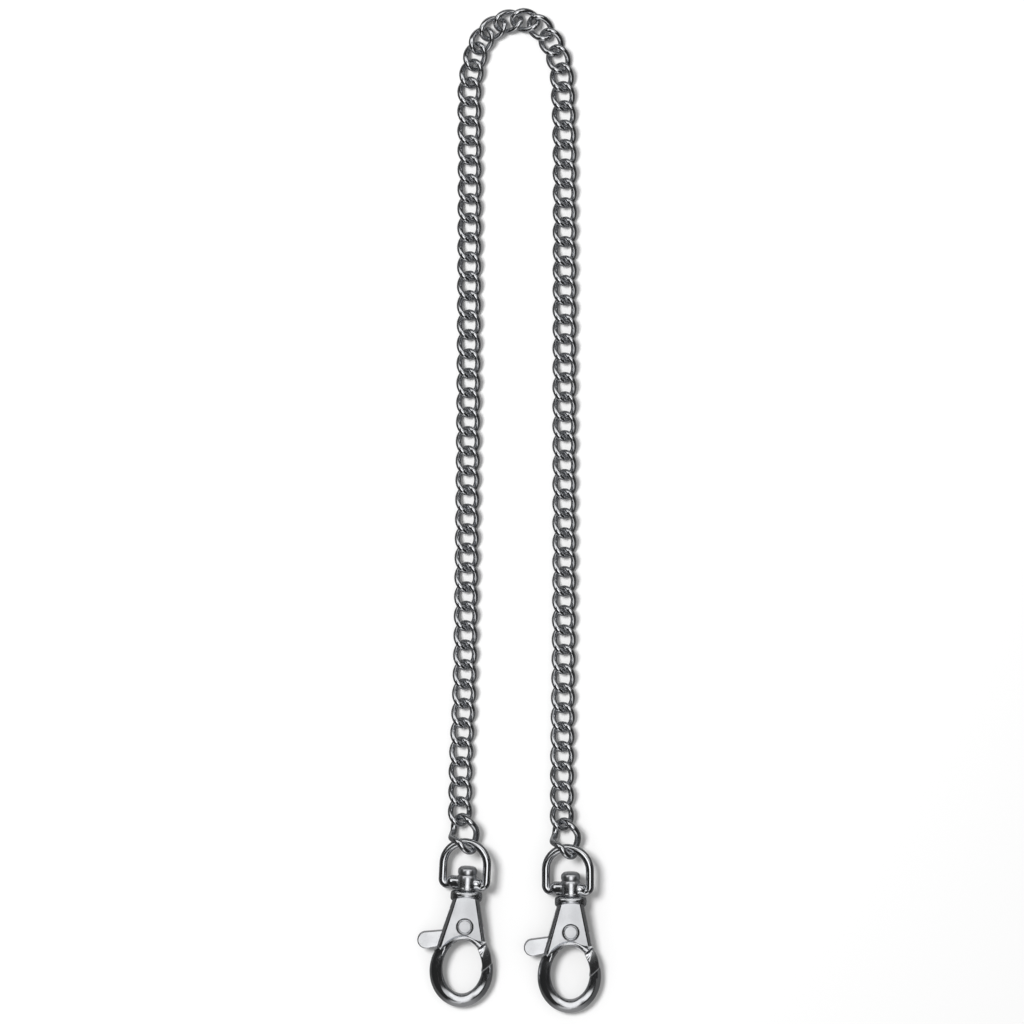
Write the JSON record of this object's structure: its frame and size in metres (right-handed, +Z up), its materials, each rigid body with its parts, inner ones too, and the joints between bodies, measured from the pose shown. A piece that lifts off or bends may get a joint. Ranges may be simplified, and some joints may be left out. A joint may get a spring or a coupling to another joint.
{
  "type": "wallet chain",
  "caption": "Nickel-plated curb-link wallet chain folded into a U, with a swivel trigger snap hook at each end.",
  "frame": {"origin": "centre of the laid-out chain's outline, on the table it lies on", "axes": "+Z up from the table, +Y from the hooks towards the fold of the chain, +X from the left strand towards the right one"},
  "size_m": [0.0422, 0.232, 0.0074],
  "materials": {
    "chain_plate": "polished nickel plate",
    "swivel_plate": "polished nickel plate on a die casting",
    "hook_plate": "nickel plate, satin on the flat faces",
    "trigger_plate": "nickel plate, satin",
    "rivet_steel": "plated steel",
    "spring_steel": "bare spring steel"
  },
  "bodies": {
    "left_strand_01": {"left_chain_01": "chain_plate"},
    "left_strand_02": {"left_chain_02": "chain_plate"},
    "left_strand_03": {"left_chain_03": "chain_plate"},
    "left_strand_04": {"left_chain_04": "chain_plate"},
    "left_strand_05": {"left_chain_05": "chain_plate"},
    "left_strand_06": {"left_chain_06": "chain_plate"},
    "left_strand_07": {"left_chain_07": "chain_plate"},
    "left_strand_08": {"left_chain_08": "chain_plate"},
    "left_strand_09": {"left_chain_09": "chain_plate"},
    "left_strand_10": {"left_chain_10": "chain_plate"},
    "left_strand_11": {"left_chain_11": "chain_plate"},
    "left_strand_12": {"left_chain_12": "chain_plate"},
    "left_strand_13": {"left_chain_13": "chain_plate"},
    "left_strand_14": {"left_chain_14": "chain_plate"},
    "left_strand_15": {"left_chain_15": "chain_plate"},
    "left_strand_16": {"left_chain_16": "chain_plate"},
    "left_strand_17": {"left_chain_17": "chain_plate"},
    "left_strand_18": {"left_chain_18": "chain_plate"},
    "left_strand_19": {"left_chain_19": "chain_plate"},
    "right_strand_01": {"right_chain_01": "chain_plate"},
    "right_strand_02": {"right_chain_02": "chain_plate"},
    "right_strand_03": {"right_chain_03": "chain_plate"},
    "right_strand_04": {"right_chain_04": "chain_plate"},
    "right_strand_05": {"right_chain_05": "chain_plate"},
    "right_strand_06": {"right_chain_06": "chain_plate"},
    "right_strand_07": {"right_chain_07": "chain_plate"},
    "right_strand_08": {"right_chain_08": "chain_plate"},
    "right_strand_09": {"right_chain_09": "chain_plate"},
    "right_strand_10": {"right_chain_10": "chain_plate"},
    "right_strand_11": {"right_chain_11": "chain_plate"},
    "right_strand_12": {"right_chain_12": "chain_plate"},
    "right_strand_13": {"right_chain_13": "chain_plate"},
    "right_strand_14": {"right_chain_14": "chain_plate"},
    "right_strand_15": {"right_chain_15": "chain_plate"},
    "right_strand_16": {"right_chain_16": "chain_plate"},
    "right_strand_17": {"right_chain_17": "chain_plate"},
    "right_strand_18": {"right_chain_18": "chain_plate"},
    "right_strand_19": {"right_chain_19": "chain_plate"},
    "crown_1": {"crown_link_1": "chain_plate"},
    "crown_2": {"crown_link_2": "chain_plate"},
    "crown_3": {"crown_link_3": "chain_plate"},
    "crown_4": {"crown_link_4": "chain_plate"},
    "crown_5": {"crown_link_5": "chain_plate"},
    "crown_6": {"crown_link_6": "chain_plate"},
    "crown_7": {"crown_link_7": "chain_plate"},
    "left_end": {"left_end_link": "chain_plate"},
    "left_eye": {"left_swivel_eye": "swivel_plate"},
    "left_hook": {"left_hook_body": "hook_plate", "left_swivel_pin": "swivel_plate", "left_pivot_rivet": "rivet_steel", "left_trigger_spring": "spring_steel"},
    "left_lever": {"left_trigger": "trigger_plate"},
    "right_end": {"right_end_link": "chain_plate"},
    "right_eye": {"right_swivel_eye": "swivel_plate"},
    "right_hook": {"right_hook_body": "hook_plate", "right_swivel_pin": "swivel_plate", "right_pivot_rivet": "rivet_steel", "right_trigger_spring": "spring_steel"},
    "right_lever": {"right_trigger": "trigger_plate"}
  },
  "joints": [
    {"name": "left_crown_bend_1", "type": "hinge", "parent": "crown_4", "child": "crown_3", "pos_m": [0.00172, 0.11302, 0.00155], "axis": [0, 0, 1], "range_deg": [-20, 0]},
    {"name": "left_crown_bend_2", "type": "hinge", "parent": "crown_3", "child": "crown_2", "pos_m": [-0.0021, 0.11202, 0.00155], "axis": [0, 0, 1], "range_deg": [-20, 0]},
    {"name": "left_crown_bend_3", "type": "hinge", "parent": "crown_2", "child": "crown_1", "pos_m": [-0.00529, 0.1098, 0.00155], "axis": [0, 0, 1], "range_deg": [-20, 0]},
    {"name": "left_strand_bend_19", "type": "hinge", "parent": "crown_1", "child": "left_strand_19", "pos_m": [-0.00736, 0.10643, 0.00155], "axis": [0, 0, 1], "range_deg": [-20, 0]},
    {"name": "left_strand_bend_18", "type": "hinge", "parent": "left_strand_19", "child": "left_strand_18", "pos_m": [-0.00913, 0.09851, 0.00155], "axis": [-0.9975, 0.0712, 0], "range_deg": [-35, 35]},
    {"name": "left_strand_bend_17", "type": "hinge", "parent": "left_strand_18", "child": "left_strand_17", "pos_m": [-0.00919, 0.08957, 0.00155], "axis": [0.9997, 0.0242, 0], "range_deg": [-35, 35]},
    {"name": "left_strand_bend_16", "type": "hinge", "parent": "left_strand_17", "child": "left_strand_16", "pos_m": [-0.00911, 0.08062, 0.00155], "axis": [1, -0.0011, 0], "range_deg": [-35, 35]},
    {"name": "left_strand_bend_15", "type": "hinge", "parent": "left_strand_16", "child": "left_strand_15", "pos_m": [-0.00914, 0.07167, 0.00155], "axis": [-1, 0.0038, 0], "range_deg": [-35, 35]},
    {"name": "left_strand_bend_14", "type": "hinge", "parent": "left_strand_15", "child": "left_strand_14", "pos_m": [-0.00918, 0.06273, 0.00155], "axis": [-1, 0.0047, 0], "range_deg": [-35, 35]},
    {"name": "left_strand_bend_13", "type": "hinge", "parent": "left_strand_14", "child": "left_strand_13", "pos_m": [-0.00923, 0.05378, 0.00155], "axis": [1, -0.0054, 0], "range_deg": [-35, 35]},
    {"name": "left_strand_bend_12", "type": "hinge", "parent": "left_strand_13", "child": "left_strand_12", "pos_m": [-0.00928, 0.04483, 0.00155], "axis": [1, -0.0062, 0], "range_deg": [-35, 35]},
    {"name": "left_strand_bend_11", "type": "hinge", "parent": "left_strand_12", "child": "left_strand_11", "pos_m": [-0.00934, 0.03588, 0.00155], "axis": [-1, 0.0068, 0], "range_deg": [-35, 35]},
    {"name": "left_strand_bend_10", "type": "hinge", "parent": "left_strand_11", "child": "left_strand_10", "pos_m": [-0.0094, 0.02694, 0.00155], "axis": [-1, 0.008, 0], "range_deg": [-35, 35]},
    {"name": "left_strand_bend_09", "type": "hinge", "parent": "left_strand_10", "child": "left_strand_09", "pos_m": [-0.00948, 0.01799, 0.00155], "axis": [1, -0.0093, 0], "range_deg": [-35, 35]},
    {"name": "left_strand_bend_08", "type": "hinge", "parent": "left_strand_09", "child": "left_strand_08", "pos_m": [-0.00957, 0.00904, 0.00155], "axis": [0.9999, -0.0103, 0], "range_deg": [-35, 35]},
    {"name": "left_strand_bend_07", "type": "hinge", "parent": "left_strand_08", "child": "left_strand_07", "pos_m": [-0.00966, 0.00009, 0.00155], "axis": [-0.9999, 0.0113, 0], "range_deg": [-35, 35]},
    {"name": "left_strand_bend_06", "type": "hinge", "parent": "left_strand_07", "child": "left_strand_06", "pos_m": [-0.00977, -0.00886, 0.00155], "axis": [-0.9999, 0.0122, 0], "range_deg": [-35, 35]},
    {"name": "left_strand_bend_05", "type": "hinge", "parent": "left_strand_06", "child": "left_strand_05", "pos_m": [-0.00988, -0.0178, 0.00155], "axis": [0.9999, -0.0135, 0], "range_deg": [-35, 35]},
    {"name": "left_strand_bend_04", "type": "hinge", "parent": "left_strand_05", "child": "left_strand_04", "pos_m": [-0.01002, -0.02675, 0.00155], "axis": [0.9999, -0.0161, 0], "range_deg": [-35, 35]},
    {"name": "left_strand_bend_03", "type": "hinge", "parent": "left_strand_04", "child": "left_strand_03", "pos_m": [-0.01018, -0.0357, 0.00155], "axis": [-0.9997, 0.0224, 0], "range_deg": [-35, 35]},
    {"name": "left_strand_bend_02", "type": "hinge", "parent": "left_strand_03", "child": "left_strand_02", "pos_m": [-0.01044, -0.04464, 0.00155], "axis": [-0.9994, 0.0332, 0], "range_deg": [-35, 35]},
    {"name": "left_strand_bend_01", "type": "hinge", "parent": "left_strand_02", "child": "left_strand_01", "pos_m": [-0.01115, -0.05804, 0.00156], "axis": [0.9984, -0.0567, 0], "range_deg": [-30, 30]},
    {"name": "left_end_link_swing", "type": "hinge", "parent": "left_strand_01", "child": "left_end", "pos_m": [-0.01136, -0.07183, 0.00239], "axis": [0.9488, 0.3158, 0], "range_deg": [-20, 30]},
    {"name": "left_eye_swing", "type": "hinge", "parent": "left_end", "child": "left_eye", "pos_m": [-0.00982, -0.07645, 0.00432], "axis": [-0.2108, -0.0505, 0.9762], "range_deg": [0, 15]},
    {"name": "left_swivel", "type": "hinge", "parent": "left_eye", "child": "left_hook", "pos_m": [-0.00976, -0.08755, 0.00376], "axis": [0.0522, 0.9967, 0.0628], "continuous": true},
    {"name": "left_trigger_turn", "type": "hinge", "parent": "left_hook", "child": "left_lever", "pos_m": [-0.01019, -0.09567, 0.00325], "axis": [0.0033, 0.0627, -0.998], "range_deg": [0, 26]},
    {"name": "right_crown_bend_1", "type": "hinge", "parent": "crown_4", "child": "crown_5", "pos_m": [0.00571, 0.11249, 0.00155], "axis": [0, 0, -1], "range_deg": [-20, 0]},
    {"name": "right_crown_bend_2", "type": "hinge", "parent": "crown_5", "child": "crown_6", "pos_m": [0.00866, 0.10951, 0.00155], "axis": [0, 0, -1], "range_deg": [-20, 0]},
    {"name": "right_crown_bend_3", "type": "hinge", "parent": "crown_6", "child": "crown_7", "pos_m": [0.01069, 0.10574, 0.00155], "axis": [0, 0, -1], "range_deg": [-20, 0]},
    {"name": "right_strand_bend_19", "type": "hinge", "parent": "crown_7", "child": "right_strand_19", "pos_m": [0.01203, 0.10171, 0.00155], "axis": [0, 0, -1], "range_deg": [-20, 0]},
    {"name": "right_strand_bend_18", "type": "hinge", "parent": "right_strand_19", "child": "right_strand_18", "pos_m": [0.01252, 0.09307, 0.00155], "axis": [-0.9982, -0.0602, 0], "range_deg": [-35, 35]},
    {"name": "right_strand_bend_17", "type": "hinge", "parent": "right_strand_18", "child": "right_strand_17", "pos_m": [0.01276, 0.08413, 0.00155], "axis": [1, 0.0087, 0], "range_deg": [-35, 35]},
    {"name": "right_strand_bend_16", "type": "hinge", "parent": "right_strand_17", "child": "right_strand_16", "pos_m": [0.0128, 0.07518, 0.00155], "axis": [1, 0.0013, 0], "range_deg": [-35, 35]},
    {"name": "right_strand_bend_15", "type": "hinge", "parent": "right_strand_16", "child": "right_strand_15", "pos_m": [0.0128, 0.06623, 0.00155], "axis": [-1, 0.0007, 0], "range_deg": [-35, 35]},
    {"name": "right_strand_bend_14", "type": "hinge", "parent": "right_strand_15", "child": "right_strand_14", "pos_m": [0.01279, 0.05728, 0.00155], "axis": [-1, 0.0017, 0], "range_deg": [-35, 35]},
    {"name": "right_strand_bend_13", "type": "hinge", "parent": "right_strand_14", "child": "right_strand_13", "pos_m": [0.01278, 0.04834, 0.00155], "axis": [1, -0.002, 0], "range_deg": [-35, 35]},
    {"name": "right_strand_bend_12", "type": "hinge", "parent": "right_strand_13", "child": "right_strand_12", "pos_m": [0.01276, 0.03939, 0.00155], "axis": [1, -0.002, 0], "range_deg": [-35, 35]},
    {"name": "right_strand_bend_11", "type": "hinge", "parent": "right_strand_12", "child": "right_strand_11", "pos_m": [0.01274, 0.03044, 0.00155], "axis": [-1, 0.0016, 0], "range_deg": [-35, 35]},
    {"name": "right_strand_bend_10", "type": "hinge", "parent": "right_strand_11", "child": "right_strand_10", "pos_m": [0.01273, 0.02149, 0.00155], "axis": [-1, 0.0005, 0], "range_deg": [-35, 35]},
    {"name": "right_strand_bend_09", "type": "hinge", "parent": "right_strand_10", "child": "right_strand_09", "pos_m": [0.01273, 0.01254, 0.00155], "axis": [1, 0.0003, 0], "range_deg": [-35, 35]},
    {"name": "right_strand_bend_08", "type": "hinge", "parent": "right_strand_09", "child": "right_strand_08", "pos_m": [0.01273, 0.0036, 0.00155], "axis": [1, 0.0002, 0], "range_deg": [-35, 35]},
    {"name": "right_strand_bend_07", "type": "hinge", "parent": "right_strand_08", "child": "right_strand_07", "pos_m": [0.01273, -0.00535, 0.00155], "axis": [-1, 0.0009, 0], "range_deg": [-35, 35]},
    {"name": "right_strand_bend_06", "type": "hinge", "parent": "right_strand_07", "child": "right_strand_06", "pos_m": [0.01271, -0.0143, 0.00155], "axis": [-1, 0.0035, 0], "range_deg": [-35, 35]},
    {"name": "right_strand_bend_05", "type": "hinge", "parent": "right_strand_06", "child": "right_strand_05", "pos_m": [0.01266, -0.02325, 0.00155], "axis": [1, -0.0078, 0], "range_deg": [-35, 35]},
    {"name": "right_strand_bend_04", "type": "hinge", "parent": "right_strand_05", "child": "right_strand_04", "pos_m": [0.01257, -0.0322, 0.00155], "axis": [0.9999, -0.012, 0], "range_deg": [-35, 35]},
    {"name": "right_strand_bend_03", "type": "hinge", "parent": "right_strand_04", "child": "right_strand_03", "pos_m": [0.01245, -0.04114, 0.00155], "axis": [-0.9999, 0.0149, 0], "range_deg": [-35, 35]},
    {"name": "right_strand_bend_02", "type": "hinge", "parent": "right_strand_03", "child": "right_strand_02", "pos_m": [0.01231, -0.05009, 0.00155], "axis": [-0.9999, 0.0152, 0], "range_deg": [-35, 35]},
    {"name": "right_strand_bend_01", "type": "hinge", "parent": "right_strand_02", "child": "right_strand_01", "pos_m": [0.01219, -0.05904, 0.00156], "axis": [0.9999, -0.0123, 0], "range_deg": [-30, 30]},
    {"name": "right_end_link_swing", "type": "hinge", "parent": "right_strand_01", "child": "right_end", "pos_m": [0.01213, -0.07284, 0.00239], "axis": [0.9635, 0.2676, 0], "range_deg": [-20, 30]},
    {"name": "right_eye_swing", "type": "hinge", "parent": "right_end", "child": "right_eye", "pos_m": [0.0135, -0.07776, 0.00432], "axis": [-0.2079, -0.0614, 0.9762], "range_deg": [0, 28]},
    {"name": "right_swivel", "type": "hinge", "parent": "right_eye", "child": "right_hook", "pos_m": [0.01413, -0.08885, 0.00376], "axis": [0, 0.998, 0.0628], "continuous": true},
    {"name": "right_trigger_turn", "type": "hinge", "parent": "right_hook", "child": "right_lever", "pos_m": [0.01413, -0.09699, 0.00325], "axis": [0, 0.0628, -0.998], "range_deg": [0, 26]}
  ]
}
